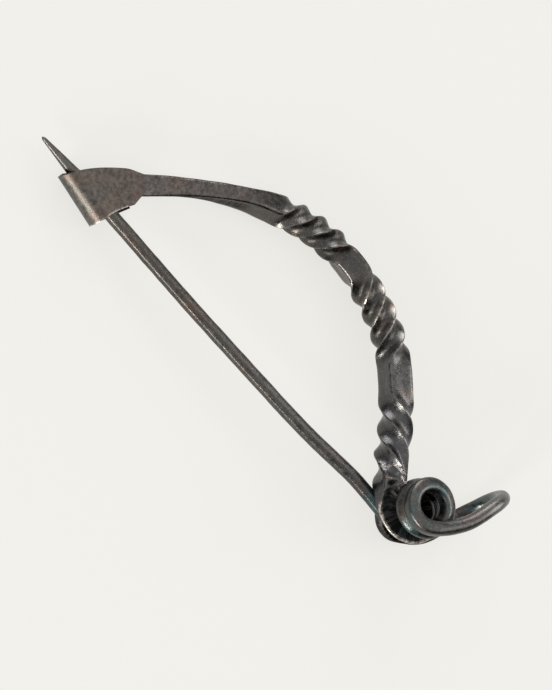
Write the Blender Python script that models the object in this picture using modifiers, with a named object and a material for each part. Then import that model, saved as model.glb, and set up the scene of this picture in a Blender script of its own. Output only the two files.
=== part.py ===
"""Fibula brooch forged in one piece from a square bar, lying on its side.

The bar is flattened at the foot and rolled into a catch for the pin. The bow is twisted one way, then
back, then the first way again. At the head the bar is drawn down to wire, which makes a near coil, a
loop, a far coil and the pin. The brooch is drawn flat first, with the spring's axis along Z through
the origin, the pin along -X and the bow towards +Y. It is then laid on the points that it rests on.
"""
import math

import bmesh
import bpy
import numpy as np
from mathutils import Matrix, Vector

MM = 0.001

# Driving dimensions, in millimetres and degrees
BAR_SIDE = 4.2            # square bar where the first twist begins
HEAD_SIDE = 4.7           # the same bar at the neck
BAR_CORNER = 0.7          # rounding of the bar's corners
FACE_HOLLOW = 0.14        # how far twisting draws in the middle of each face
BOW_SPAN = 65.9           # from the strip's start in the catch to the neck, along X
BOW_HEIGHT = 21.0         # from the strip's start up to the bow's highest point
STRIP_WIDTH = 3.8         # flattened strip at the catch, in the bow's plane
WAIST_WIDTH = 3.25        # the strip where it is narrowest
STRIP_THICKNESS = 1.1     # the same strip across the bow's plane, at the catch
STRIP_LENGTH = 18.0       # over which the strip narrows and thickens
STRIP_LAP = 0.4           # how far inside the catch's end the strip begins
ROOT_THICKNESS = 0.5      # of the strip where it begins, inside the catch's sheet
ROOT_LENGTH = 3.0         # over which the strip comes out of the sheet
BAR_GROWTH = 13.0         # over which the narrow strip then widens into the square bar
FOOT_HEIGHT = 1.0         # of the strip's start above the spring's axis
FIRST_TWIST = -348.0      # turning of the bar in each twist, one way and back
SECOND_TWIST = 348.0
THIRD_TWIST = -283.0
NECK_TWIST = 13.0         # back into line with the coil
WIRE_DIAMETER = 2.52      # wire of the coils and the loop
NECK_WIDTH = 3.7          # drawn-down neck, along the spring's axis
NECK_LENGTH = 9.0         # over which it narrows that way to the wire
NECK_DEPTH = 3.7          # the neck towards the spring's axis
DEPTH_LENGTH = 20.0       # over which it narrows that way
NECK_CORNER = 0.4         # rounding of the neck's corners
NECK_ROUNDING = 9.0       # over which they round off into the wire
WEDGE_DEPTH = 0.85        # share of the neck's near side that slopes away at its outer edge
SHOULDER_LENGTH = 1.8     # step from the bar down to the neck
SHOULDER_LEAD = 1.3       # how far the step begins before the neck's guide points
SHOULDER_SHIFT = 1.0      # how far the bar's end stands out beyond the neck, away from the pin
SHIFT_REACH = 4.5         # over which it moves out
SHOULDER_SLANT = 2.5      # how much later the step comes on that side
SLANT_REACH = 8.0         # over which the sections slant
NECK_SPREAD = 3.7         # how far outside the coil the neck arrives
COIL_RADIUS = 3.65        # from the spring's axis to the middle of the wire
NEAR_SPREAD = 0.1         # how much wider the near coil is
FIRST_TURN_SPREAD = 0.3   # how much wider again its first turn begins
NEAR_ASIDE = (-0.14, -0.32)  # of the near coil's middle from the spring's axis, in X and Y
FAR_ASIDE = -0.45         # of the far coil's middle, in X
TURN_GAP = 0.12           # clear space between neighbouring turns
NEAR_TURNS = 2            # whole turns of the coil on the near side
FAR_TURNS = 1             # whole turns of the coil on the far side
FAR_HUG = 0.25            # how much of a pitch the far coil keeps back, to lie against the neck
LOOP_HEADING = 43.0       # direction of the wire where it leaves both coils for the loop
LOOP_TURNING = 38.0       # bend of the loop's legs
LOOP_LEG = 11.7           # length of the loop's legs
LOOP_BULGE = 5.4          # how far the loop's end bulges past its legs
PIN_LENGTH = 91.0         # from the spring's axis to the point
PIN_DIAMETER = 2.4        # at the catch
PIN_TIP = 0.6             # across the blunted point
POINT_LENGTH = 9.8        # of the tapered point
PIN_SAG = 0.85            # slight bend of the pin, away from the bow
PIN_SETTLED = 0.8         # share of its length at which the pin has come to the catch's height
CATCH_LENGTH = 9.9        # of the roll, along the pin
CATCH_OVERHANG = 6.7      # of the pin's point beyond the catch
CATCH_CLEARANCE = 0.35    # between the pin and the front layer
ROLL_RADIUS = 1.85        # of the roll's middle surface, at the point's end
ROLL_FLARE = 0.5          # how much wider the roll is at the spring's end
SHEET_THICKNESS = 0.8     # of the catch's sheet
ROLL_DROP = 0.55          # of the roll's middle line, away from the bow
ROLL_SLANT = 1.0          # how much further it drops at the spring's end
FRONT_HEIGHT = 10.2       # of the front layer above the roll, where the strip grows out of it
FRONT_CUT = 9.9           # how far its edge at the point's end slants in
FRONT_SPREAD = 2.55       # how far its edge at the spring's end spreads out
FRONT_CORNER = 0.9        # how much further its upper corner is cut, to run into the strip
CORNER_START = 0.8        # share of its height where that begins
SPREAD_HEIGHT = 8.75      # over which that edge spreads
BACK_HEIGHT = 6.4         # of the back layer above the roll, at its higher end
BACK_CUT = 7.4            # the same two for the back layer's edges
BACK_SPREAD = 3.5
BACK_LEAN = 7.0           # of the back layer towards the front one
EDGE_SLANT = 2.1          # slope of the edges along the pin

# Fineness of the surface
STRIP_STEP = 1.55         # between sections along the strip
TWIST_STEP = 0.62         # along the twisted bow and the neck
LEG_PARTS = 3             # of each leg of the loop
END_PARTS = 6             # of the half turn between them
COIL_STEP = 1.3           # along the coils and the loop
PIN_STEP = 7.0            # along the pin
COIL_ANGLE = 20.0         # between the coils' guide points, in degrees
SHEET_COLUMNS = 8         # of the catch's sheet, along the pin
SHEET_ROWS = 10           # of each flat layer
ROLL_ROWS = 10            # of the roll between them
SHARP_ANGLE = 40.0        # edges sharper than this stay sharp, in degrees
THIN_CORNER = 0.3         # corner of a thin section, as a share of its thickness
LEAST_DOWN = -0.8         # how squarely the resting plane has to face down, of 1

# The bow's line as shares of its span and height, and the twists as shares of the bow's length
BOW_LINE = (
    (0.000, 0.000),
    (0.073, 0.237),
    (0.164, 0.488),
    (0.285, 0.748),
    (0.421, 0.944),
    (0.558, 1.004),
    (0.679, 0.947),
    (0.787, 0.816),
    (0.879, 0.581),
    (0.947, 0.325),
    (1.000, 0.054),
)
TWIST_SPANS = ((0.333, 0.5285), (0.556, 0.774), (0.814, 1.028), (1.0, 1.07))
# The pin's line: a share of its length, and its stray from straight as a share of the sag
PIN_LINE = ((0.11, 0.50), (0.22, -0.32), (0.38, -0.82), (0.55, -0.95), (0.77, -0.58), (1.0, -0.05))
# The neck's line: a place round the coil in degrees, and a share of its spread
NECK_LINE = ((190, 1.0), (211, 0.58), (240, 0.31), (270, 0.205), (292, 0.12), (315, 0.05), (338, 0.01))
# Distances beyond the bow's end between which the neck becomes a wedge, and is round wire again
WEDGE_SPAN = (2.0, 6.0, 12.5, 17.5)
PIN_ANGLE = 262.0         # place round the coil where the pin leaves
# How the edges of the catch's layers curve: powers of the share of their height
FRONT_CURVES = (1.41, 1.54)
BACK_CURVES = (1.66, 1.2)

PITCH = WIRE_DIAMETER + TURN_GAP


def smooth(share):
    """Eases a share from 0 to 1."""
    share = min(max(share, 0.0), 1.0)
    return share * share * (3.0 - 2.0 * share)


def blend(share, start, end):
    return start + (end - start) * smooth(share)


def ramp(share, ease=0.16):
    """Rises from 0 to 1 at an even rate, with a short ease at both ends."""
    share = min(max(share, 0.0), 1.0)
    rate = 1.0 / (1.0 - ease)
    if share < ease:
        return rate * share * share / (2.0 * ease)
    if share > 1.0 - ease:
        return 1.0 - rate * (1.0 - share) ** 2 / (2.0 * ease)
    return rate * (share - ease / 2.0)


def bow_start():
    """Where the strip begins, inside the catch's front layer."""
    return (-PIN_LENGTH + CATCH_OVERHANG + CATCH_LENGTH - STRIP_LAP, FOOT_HEIGHT)


def bow_points():
    x, y = bow_start()
    return [(x + along * BOW_SPAN, y + up * BOW_HEIGHT, 0.0) for along, up in BOW_LINE]


def coil_point(degrees, height, spread=0.0):
    angle = math.radians(degrees)
    radius = COIL_RADIUS + spread
    return (radius * math.cos(angle), radius * math.sin(angle), height)


def near_points():
    """The neck, closing in on the coil, and the near coil."""
    neck_angle = NECK_LINE[0][0]
    last = LOOP_HEADING + 270.0 + 360.0 * NEAR_TURNS
    points = []
    for degrees, share in NECK_LINE:
        x, y, z = coil_point(degrees, PITCH * (degrees - neck_angle) / 360.0, NECK_SPREAD * share)
        arrived = smooth((degrees - neck_angle) / (360.0 - neck_angle))
        points.append((x + NEAR_ASIDE[0] * arrived, y + NEAR_ASIDE[1] * arrived, z))
    steps = round((last - 360.0) / COIL_ANGLE)
    for i in range(steps + 1):
        degrees = 360.0 + (last - 360.0) * i / steps
        spread = NEAR_SPREAD + FIRST_TURN_SPREAD * (1.0 - smooth((degrees - 360.0) / 360.0))
        x, y, z = coil_point(degrees, PITCH * (degrees - neck_angle) / 360.0, spread)
        points.append((x + NEAR_ASIDE[0], y + NEAR_ASIDE[1], z))
    return points


def far_points():
    """The far coil from the pin's turn outwards, which keeps close to the neck at first."""
    last = LOOP_HEADING + 270.0 + 360.0 * FAR_TURNS
    steps = round((last - PIN_ANGLE) / COIL_ANGLE)
    points = []
    for i in range(steps + 1):
        degrees = PIN_ANGLE + (last - PIN_ANGLE) * i / steps
        turned = (degrees - PIN_ANGLE) / 360.0
        fall = turned - FAR_HUG * math.sin(math.pi * min(turned, 1.0))
        x, y, z = coil_point(degrees, -PITCH * (1.0 + fall))
        points.append((x + FAR_ASIDE, y, z))
    return points


def loop_points(near_end, far_end):
    """Both legs of the loop and the half turn that joins them."""
    legs = []
    x = 0.0
    y = 0.0
    parts = LEG_PARTS
    for i in range(parts):
        heading = math.radians(LOOP_HEADING + LOOP_TURNING * (i + 0.5) / parts)
        x += LOOP_LEG / parts * math.cos(heading)
        y += LOOP_LEG / parts * math.sin(heading)
        legs.append((x, y))
    out = [(near_end[0] + x, near_end[1] + y, near_end[2]) for x, y in legs]
    back = [(far_end[0] + x, far_end[1] + y, far_end[2]) for x, y in legs]
    middle = (near_end[2] + far_end[2]) / 2
    half = (near_end[2] - far_end[2]) / 2
    heading = math.radians(LOOP_HEADING + LOOP_TURNING * (parts - 0.5) / parts)
    turn = []
    for i in range(1, END_PARTS):
        angle = math.pi * i / END_PARTS
        bulge = LOOP_BULGE * math.sin(angle)
        x = out[-1][0] + bulge * math.cos(heading)
        y = out[-1][1] + bulge * math.sin(heading)
        turn.append((x, y, middle + half * math.cos(angle)))
    return out + turn + back[::-1]


def pin_height():
    """Height of the pin in the catch: close behind the front layer."""
    return -SHEET_THICKNESS / 2 - CATCH_CLEARANCE - PIN_DIAMETER / 2


def pin_points():
    points = []
    for share, stray in PIN_LINE:
        height = blend(share / PIN_SETTLED, -PITCH, pin_height())
        points.append((-share * PIN_LENGTH, -COIL_RADIUS + stray * PIN_SAG, height))
    return points


def spline(points):
    """A natural cubic spline through 3-D points: its knots, and the point at any distance."""
    points = np.array(points, float)
    chords = np.linalg.norm(np.diff(points, axis=0), axis=1)
    knots = np.concatenate(([0.0], np.cumsum(chords)))
    count = len(points)
    system = np.zeros((count, count))
    right = np.zeros((count, 3))
    system[0, 0] = 1.0
    system[-1, -1] = 1.0
    for i in range(1, count - 1):
        before = chords[i - 1]
        after = chords[i]
        system[i, i - 1:i + 2] = (before, 2.0 * (before + after), after)
        right[i] = 6.0 * ((points[i + 1] - points[i]) / after - (points[i] - points[i - 1]) / before)
    bends = np.linalg.solve(system, right)

    def at(distance):
        i = min(max(int(np.searchsorted(knots, distance, side="right")) - 1, 0), count - 2)
        width = chords[i]
        low = (knots[i + 1] - distance) / width
        high = (distance - knots[i]) / width
        curve = (low**3 - low) * bends[i] + (high**3 - high) * bends[i + 1]
        return low * points[i] + high * points[i + 1] + curve * width**2 / 6.0

    return knots, at


def twist_at(share):
    """Turning of the bar's section, in degrees, at a share of the bow's length."""
    turning = 0.0
    for (begin, end), amount in zip(TWIST_SPANS, (FIRST_TWIST, SECOND_TWIST, THIRD_TWIST, NECK_TWIST)):
        turning += amount * ramp((share - begin) / (end - begin))
    return turning


def bow_section(distance, length):
    """Width, thickness, corner, hollow and turning of the bow at a distance from its start."""
    bar_start = STRIP_LENGTH + BAR_GROWTH
    side = BAR_SIDE + (HEAD_SIDE - BAR_SIDE) * max(0.0, distance - bar_start) / (length - bar_start)
    grown = smooth((distance - STRIP_LENGTH) / BAR_GROWTH)
    narrow = smooth(distance / STRIP_LENGTH)
    width = STRIP_WIDTH + (WAIST_WIDTH - STRIP_WIDTH) * narrow + (side - WAIST_WIDTH) * grown
    thickness = blend(distance / ROOT_LENGTH, ROOT_THICKNESS, STRIP_THICKNESS)
    thickness += (side - STRIP_THICKNESS) * smooth((distance - ROOT_LENGTH) / STRIP_LENGTH)
    corner = min(BAR_CORNER, thickness * THIN_CORNER)
    return width, thickness, corner, FACE_HOLLOW * grown, twist_at(distance / length)


def neck_section(distance, length):
    """The same for the neck and the near coil, at a distance from the bow's end."""
    step = smooth(distance / SHOULDER_LENGTH)
    narrow = smooth(distance / NECK_LENGTH)
    shallow = smooth(distance / DEPTH_LENGTH)
    width = HEAD_SIDE + (NECK_WIDTH - HEAD_SIDE) * step + (WIRE_DIAMETER - NECK_WIDTH) * narrow
    thickness = HEAD_SIDE + (NECK_DEPTH - HEAD_SIDE) * step + (WIRE_DIAMETER - NECK_DEPTH) * shallow
    corner = blend(distance / SHOULDER_LENGTH, BAR_CORNER, NECK_CORNER)
    corner = blend((distance - WEDGE_SPAN[2]) / NECK_ROUNDING, corner, WIRE_DIAMETER / 2)
    return width, thickness, corner, FACE_HOLLOW * (1.0 - step), twist_at(1.0 + distance / length)


def wire_section(diameter):
    return diameter, diameter, diameter / 2, 0.0, FIRST_TWIST + SECOND_TWIST + THIRD_TWIST + NECK_TWIST


def pin_diameter(left, length):
    """Diameter of the pin where that much of its length is left."""
    if left < POINT_LENGTH:
        return PIN_TIP + (PIN_DIAMETER - PIN_TIP) * left / POINT_LENGTH
    return PIN_DIAMETER + (WIRE_DIAMETER - PIN_DIAMETER) * (left - POINT_LENGTH) / (length - POINT_LENGTH)


def stations():
    """Every section of the forging from the foot to the point: its middle and its size."""
    bow = bow_points()
    near = near_points()
    far = far_points()[::-1]
    loop = loop_points(near[-1], far[0])
    knots, at = spline(bow + near + loop + far + pin_points())
    bow_end = knots[len(bow)] - SHOULDER_LEAD
    loop_start = knots[len(bow) + len(near) - 1]
    pin_start = knots[len(bow) + len(near) + len(loop) + len(far) - 1]
    end = knots[-1]
    found = []

    def stretch(first, last, step, section):
        count = max(1, round((last - first) / step))
        for i in range(count):
            distance = first + (last - first) * i / count
            found.append((at(distance), section(distance), distance - bow_end))

    twist_start = bow_end * TWIST_SPANS[0][0]
    stretch(0.0, twist_start, STRIP_STEP, lambda d: bow_section(d, bow_end))
    stretch(twist_start, bow_end, TWIST_STEP, lambda d: bow_section(d, bow_end))
    neck_start = bow_end + SHOULDER_LENGTH
    stretch(bow_end, neck_start, TWIST_STEP, lambda d: neck_section(d - bow_end, bow_end))
    wedge_start = bow_end + WEDGE_SPAN[1]
    stretch(neck_start, wedge_start, TWIST_STEP, lambda d: neck_section(d - bow_end, bow_end))
    stretch(wedge_start, loop_start, COIL_STEP, lambda d: neck_section(d - bow_end, bow_end))
    stretch(loop_start, pin_start, COIL_STEP, lambda d: wire_section(WIRE_DIAMETER))
    length = end - pin_start
    bend_end = pin_start + length * PIN_LINE[0][0]
    point_start = end - POINT_LENGTH
    stretch(pin_start, bend_end, COIL_STEP, lambda d: wire_section(pin_diameter(end - d, length)))
    stretch(bend_end, point_start, PIN_STEP, lambda d: wire_section(pin_diameter(end - d, length)))
    stretch(point_start, end, COIL_STEP, lambda d: wire_section(pin_diameter(end - d, length)))
    found.append((at(end), wire_section(PIN_TIP), end - bow_end))
    return found


def section_points(width, thickness, corner, hollow, turning):
    """A rounded rectangle of 16 points, turned about its middle."""
    points = []
    for quarter in range(4):
        across = (width, thickness)[quarter % 2] / 2
        along = (thickness, width)[quarter % 2] / 2
        corner = min(corner, across, along)
        local = [(across - hollow, 0.0)]
        for degrees in (22.5, 45.0, 67.5):
            angle = math.radians(degrees)
            x = across - corner + corner * math.cos(angle)
            y = along - corner + corner * math.sin(angle)
            local.append((x, y))
        for x, y in local:
            for _ in range(quarter):
                x, y = -y, x
            points.append((x, y))
    angle = math.radians(turning)
    cosine = math.cos(angle)
    sine = math.sin(angle)
    return [(x * cosine - y * sine, x * sine + y * cosine) for x, y in points]


def shaped_at_shoulder(points, width, thickness, beyond):
    """Shapes a section by its distance beyond the bow's end: the bar's end stands out and slants, and
    the neck slopes away to a thin outer edge. Gives the lean along the line as a third value."""
    away = abs(beyond)
    begin, full, rest, end = WEDGE_SPAN
    wedge = WEDGE_DEPTH * smooth((beyond - begin) / (full - begin)) * (1.0 - smooth((beyond - rest) / (end - rest)))
    shift = SHOULDER_SHIFT * smooth(1.0 - away / SHIFT_REACH) * (1.0 - smooth(beyond / SHOULDER_LENGTH))
    slant = SHOULDER_SLANT * smooth(1.0 - away / SLANT_REACH)
    shaped = []
    for x, y in points:
        outer = smooth(0.5 + x / thickness)
        y = -width / 2 + (y + width / 2) * (1.0 - wedge * outer)
        shaped.append((x + shift, y, slant * max(x, 0.0) / (HEAD_SIDE / 2)))
    return shaped


def forged_mesh():
    """The whole forging but for the catch: one loft between unlike sections."""
    found = stations()
    middles = [Vector(middle) for middle, _, _ in found]
    count = len(found)
    mesh = bmesh.new()
    rings = []
    side = None
    for i in range(count):
        tangent = (middles[min(i + 1, count - 1)] - middles[max(i - 1, 0)]).normalized()
        if side is None:
            side = Vector((0.0, 0.0, 1.0)).cross(tangent)
        side = (side - tangent * side.dot(tangent)).normalized()
        up = tangent.cross(side)
        ring = []
        _, section, beyond = found[i]
        for x, y, lean in shaped_at_shoulder(section_points(*section), section[0], section[1], beyond):
            ring.append(mesh.verts.new((middles[i] + side * x + up * y + tangent * lean) * MM))
        rings.append(ring)
    around = len(rings[0])
    for low, high in zip(rings, rings[1:]):
        for j in range(around):
            k = (j + 1) % around
            mesh.faces.new((low[j], low[k], high[k], high[j]))
    mesh.faces.new(rings[0][::-1])
    mesh.faces.new(rings[-1])
    bmesh.ops.recalc_face_normals(mesh, faces=mesh.faces)
    return mesh


def catch_edges(height):
    """Ends of the catch's sheet, along X, at a height up the sheet from the roll's lowest line."""
    point_end = -PIN_LENGTH + CATCH_OVERHANG
    spring_end = point_end + CATCH_LENGTH
    quarter = math.pi / 2 * (ROLL_RADIUS + ROLL_FLARE)
    if height > 0:
        share = height / (quarter + FRONT_HEIGHT)
        cut = FRONT_CUT * share ** FRONT_CURVES[0]
        cut += FRONT_CORNER * smooth((share - CORNER_START) / (1.0 - CORNER_START))
        spread = FRONT_SPREAD * min(height / SPREAD_HEIGHT, 1.0) ** FRONT_CURVES[1]
    else:
        share = -height / (quarter + BACK_HEIGHT)
        cut = BACK_CUT * share ** BACK_CURVES[0]
        spread = BACK_SPREAD * share ** BACK_CURVES[1]
    return point_end + cut, spring_end + spread


def catch_point(x, height):
    """Bends a point of the flat sheet round the roll: front layer, roll, back layer."""
    share = (x + PIN_LENGTH - CATCH_OVERHANG) / CATCH_LENGTH
    radius = ROLL_RADIUS + ROLL_FLARE * share
    axis_y = -COIL_RADIUS - ROLL_DROP - ROLL_SLANT * share
    half_turn = math.pi / 2 * radius
    if height > half_turn:
        return (x, axis_y + height - half_turn, 0.0)
    if height < -half_turn:
        lean = math.radians(BACK_LEAN)
        beyond = -height - half_turn
        return (x, axis_y + beyond * math.cos(lean), -2.0 * radius + beyond * math.sin(lean))
    angle = height / radius
    return (x, axis_y - radius * math.cos(angle), -radius + radius * math.sin(angle))


def catch_object():
    """The foot's sheet, drawn as an open surface and thickened."""
    mesh = bmesh.new()
    quarter = math.pi / 2 * (ROLL_RADIUS + ROLL_FLARE)
    top = quarter + FRONT_HEIGHT
    low = -quarter - BACK_HEIGHT
    heights = []
    for i in range(SHEET_ROWS):
        heights.append(low + (-quarter - low) * i / SHEET_ROWS)
    for i in range(ROLL_ROWS):
        heights.append(-quarter + 2 * quarter * i / ROLL_ROWS)
    for i in range(SHEET_ROWS + 1):
        heights.append(quarter + (top - quarter) * i / SHEET_ROWS)
    rows = []
    for height in heights:
        left, right = catch_edges(height)
        slant = EDGE_SLANT * max(0.0, (height - quarter) / (top - quarter))
        row = []
        for i in range(SHEET_COLUMNS + 1):
            share = i / SHEET_COLUMNS
            point = catch_point(left + (right - left) * share, height - slant * share)
            row.append(mesh.verts.new(Vector(point) * MM))
        rows.append(row)
    for lower, upper in zip(rows, rows[1:]):
        for i in range(SHEET_COLUMNS):
            mesh.faces.new((lower[i], lower[i + 1], upper[i + 1], upper[i]))
    bmesh.ops.recalc_face_normals(mesh, faces=mesh.faces)
    data = bpy.data.meshes.new("catch_sheet")
    mesh.to_mesh(data)
    mesh.free()
    sheet = bpy.data.objects.new("catch_sheet", data)
    solidify = sheet.modifiers.new("Thickness", "SOLIDIFY")
    solidify.thickness = SHEET_THICKNESS * MM
    solidify.offset = 0.0
    solidify.use_even_offset = True
    return sheet


def join(body, other):
    """Unites another object with the body and removes it."""
    union = body.modifiers.new("Join", "BOOLEAN")
    union.operation = "UNION"
    union.solver = "EXACT"
    union.object = other
    bpy.context.view_layer.update()
    graph = bpy.context.evaluated_depsgraph_get()
    data = bpy.data.meshes.new_from_object(body.evaluated_get(graph))
    body.modifiers.clear()
    body.data = data
    bpy.data.objects.remove(other)


def lay_down(body):
    """Turns the body onto the three points that it rests on, and centres it over the origin."""
    mesh = bmesh.new()
    mesh.from_mesh(body.data)
    middle = centre_of_mass(mesh)
    hull = bmesh.ops.convex_hull(mesh, input=mesh.verts, use_existing_faces=False)
    faces = [item for item in hull["geom"] if isinstance(item, bmesh.types.BMFace)]
    best = None
    for face in faces:
        normal = face.normal.copy()
        if normal.dot(face.calc_center_median() - middle) < 0:
            normal.negate()
        if normal.z > LEAST_DOWN or not stands_on(face, normal, middle):
            continue
        if best is None or normal.z < best.z:
            best = normal
    turn = best.rotation_difference(Vector((0.0, 0.0, -1.0))).to_matrix().to_4x4()
    body.data.transform(turn)
    low = [min(vertex.co[i] for vertex in body.data.vertices) for i in range(3)]
    high = [max(vertex.co[i] for vertex in body.data.vertices) for i in range(3)]
    shift = Vector((-(low[0] + high[0]) / 2, -(low[1] + high[1]) / 2, -low[2]))
    body.data.transform(Matrix.Translation(shift))
    mesh.free()


def centre_of_mass(mesh):
    """Middle of a closed mesh's volume."""
    total = 0.0
    moment = Vector()
    triangles = bmesh.ops.triangulate(mesh, faces=mesh.faces)["faces"]
    for face in triangles:
        a, b, c = (vertex.co for vertex in face.verts)
        volume = a.dot(b.cross(c)) / 6.0
        total += volume
        moment += (a + b + c) * (volume / 4.0)
    return moment / total


def stands_on(face, normal, middle):
    """Whether the middle of the mass is above the face, seen along its normal."""
    corners = [vertex.co for vertex in face.verts]
    signs = []
    for i in range(len(corners)):
        edge = corners[(i + 1) % len(corners)] - corners[i]
        signs.append(edge.cross(middle - corners[i]).dot(normal))
    return all(sign >= 0 for sign in signs) or all(sign <= 0 for sign in signs)


def iron():
    material = bpy.data.materials.new("blackened_iron")
    material.use_nodes = True
    shader = material.node_tree.nodes["Principled BSDF"]
    shader.inputs["Base Color"].default_value = (0.055, 0.052, 0.052, 1.0)
    shader.inputs["Metallic"].default_value = 0.85
    shader.inputs["Roughness"].default_value = 0.42
    return material


def build():
    for old in list(bpy.data.objects):
        bpy.data.objects.remove(old)
    collection = bpy.data.collections.new("fibula_brooch")
    bpy.context.scene.collection.children.link(collection)
    data = bpy.data.meshes.new("fibula")
    mesh = forged_mesh()
    mesh.to_mesh(data)
    mesh.free()
    body = bpy.data.objects.new("fibula", data)
    collection.objects.link(body)
    sheet = catch_object()
    collection.objects.link(sheet)
    join(body, sheet)
    lay_down(body)
    body.data.materials.clear()
    body.data.materials.append(iron())
    body.data.shade_smooth()
    body.data.set_sharp_from_angle(angle=math.radians(SHARP_ANGLE))


build()
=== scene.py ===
"""Looks of a fibula brooch that is forged in one piece from a square iron bar and blackened.

It is drawn in millimetres, with the spring's axis along Z through the origin, the pin along -X and the bow
towards +Y, and is then turned and moved onto the frame, where it lies on its side.
"""

import math

import bpy
import bmesh
import numpy as np
from mathutils import Matrix, Vector, noise
from mathutils.kdtree import KDTree


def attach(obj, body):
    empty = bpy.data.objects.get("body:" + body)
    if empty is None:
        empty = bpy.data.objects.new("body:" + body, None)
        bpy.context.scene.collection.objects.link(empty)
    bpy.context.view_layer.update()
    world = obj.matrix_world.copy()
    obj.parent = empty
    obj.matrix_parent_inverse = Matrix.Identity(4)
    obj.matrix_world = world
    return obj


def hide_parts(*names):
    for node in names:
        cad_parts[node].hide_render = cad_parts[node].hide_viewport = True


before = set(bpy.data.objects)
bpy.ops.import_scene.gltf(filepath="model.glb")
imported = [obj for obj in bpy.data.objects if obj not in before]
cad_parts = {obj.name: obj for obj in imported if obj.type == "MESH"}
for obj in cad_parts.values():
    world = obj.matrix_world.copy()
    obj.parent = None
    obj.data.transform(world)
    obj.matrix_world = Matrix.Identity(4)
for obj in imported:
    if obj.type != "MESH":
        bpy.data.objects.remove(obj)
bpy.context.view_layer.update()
MM = 0.001

# The middle line
# One bar makes everything: from the catch it is the strip, the twisted bow and the neck, then, drawn down to
# wire, the near coil, the loop, the far coil and the pin. A smooth curve joins guide points along it.
PIN_LENGTH = 91.0
PIN_SAG = 0.85
CATCH_LENGTH = 9.9
CATCH_OVERHANG = 6.7
STRIP_LAP = 0.4
FOOT_HEIGHT = 1.0
BOW_SPAN = 65.9
BOW_HEIGHT = 21.0
# Guide points of the bow, as shares of its span and height
BOW_LINE = (
    (0.000, 0.000),
    (0.073, 0.237),
    (0.164, 0.488),
    (0.285, 0.748),
    (0.421, 0.944),
    (0.558, 1.004),
    (0.678, 0.944),
    (0.7857, 0.8115),
    (0.8781, 0.5775),
    (0.947, 0.325),
    (1.000, 0.054),
)
WIRE_DIAMETER = 2.52
TURN_GAP = 0.12
PITCH = WIRE_DIAMETER + TURN_GAP
COIL_RADIUS = 3.65
COIL_ANGLE = 20.0
NECK_SPREAD = 3.7
# Places of the neck round the coil, in degrees, with the share of the spread that is left there
NECK_LINE = ((190, 1.0), (211, 0.58), (240, 0.31), (270, 0.205), (292, 0.12), (315, 0.05), (338, 0.01))
NEAR_TURNS = 2
FAR_TURNS = 1
FAR_HUG = 0.45
FAR_ASIDE = -0.45
NEAR_ASIDE = (-0.14, -0.32)
NEAR_SPREAD = 0.1
FIRST_TURN_SPREAD = 0.3
LOOP_HEADING = 43.0
LOOP_TURNING = 38.0
LOOP_LEG = 11.7
LEG_PARTS = 3
LOOP_BULGE = 5.85
BEND_ANGLE = 30
FAR_LEG_DROP = 0.78
PIN_ANGLE = 262.0
PIN_SETTLED = 0.8
PIN_DIAMETER = 2.48
SHEET_THICKNESS = 0.8
CATCH_CLEARANCE = 0.35
PIN_IN_CATCH = -SHEET_THICKNESS / 2 - CATCH_CLEARANCE - PIN_DIAMETER / 2
# Places along the pin, with its stray from straight there as a share of the sag
PIN_LINE = ((0.11, 0.50), (0.22, -0.32), (0.38, -0.82), (0.55, -0.95), (0.77, -0.58), (1.0, -0.15))
SHOULDER_LEAD = 1.3


def smooth(share):
    """Eases a share from 0 to 1."""
    share = np.clip(share, 0.0, 1.0)
    return share * share * (3.0 - 2.0 * share)


def coil_point(degrees, height, spread=0.0):
    """A point of a coil's middle line, at a place round the axis."""
    angle = math.radians(degrees)
    radius = COIL_RADIUS + spread
    return (radius * math.cos(angle), radius * math.sin(angle), height)


def turns(first, last):
    """Places round a coil, in degrees, from its first to its last."""
    return np.linspace(first, last, round((last - first) / COIL_ANGLE) + 1)


foot = (-PIN_LENGTH + CATCH_OVERHANG + CATCH_LENGTH - STRIP_LAP, FOOT_HEIGHT)
bow = [(foot[0] + span * BOW_SPAN, foot[1] + up * BOW_HEIGHT, 0.0) for span, up in BOW_LINE]
neck_angle = NECK_LINE[0][0]
loop_start = LOOP_HEADING + 270
near = []
for degrees, share in NECK_LINE:
    x, y, z = coil_point(degrees, PITCH * (degrees - neck_angle) / 360, NECK_SPREAD * share)
    arrived = float(smooth((degrees - neck_angle) / (360 - neck_angle)))
    near.append((x + NEAR_ASIDE[0] * arrived, y + NEAR_ASIDE[1] * arrived, z))
for degrees in turns(360, loop_start + 360 * NEAR_TURNS):
    spread = NEAR_SPREAD + FIRST_TURN_SPREAD * (1.0 - float(smooth((degrees - 360) / 360)))
    x, y, z = coil_point(degrees, PITCH * (degrees - neck_angle) / 360, spread)
    near.append((x + NEAR_ASIDE[0], y + NEAR_ASIDE[1], z))
far = []
for degrees in turns(PIN_ANGLE, loop_start + 360 * FAR_TURNS)[::-1]:
    turned = (degrees - PIN_ANGLE) / 360
    x, y, z = coil_point(degrees, -PITCH * (1 + turned - FAR_HUG * math.sin(math.pi * min(turned, 1))))
    far.append((x + FAR_ASIDE, y, z))
leg = []
for i in range(LEG_PARTS):
    heading = math.radians(LOOP_HEADING + LOOP_TURNING * (i + 0.5) / LEG_PARTS)
    x, y = leg[-1] if leg else (0.0, 0.0)
    leg.append((x + LOOP_LEG / LEG_PARTS * math.cos(heading), y + LOOP_LEG / LEG_PARTS * math.sin(heading)))
out = [(near[-1][0] + x, near[-1][1] + y, near[-1][2]) for x, y in leg]
back = [(far[0][0] + x, far[0][1] + y - FAR_LEG_DROP, far[0][2]) for x, y in leg]
loop_middle = (near[-1][2] + far[0][2]) / 2
loop_half = (near[-1][2] - far[0][2]) / 2
bend = []
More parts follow.
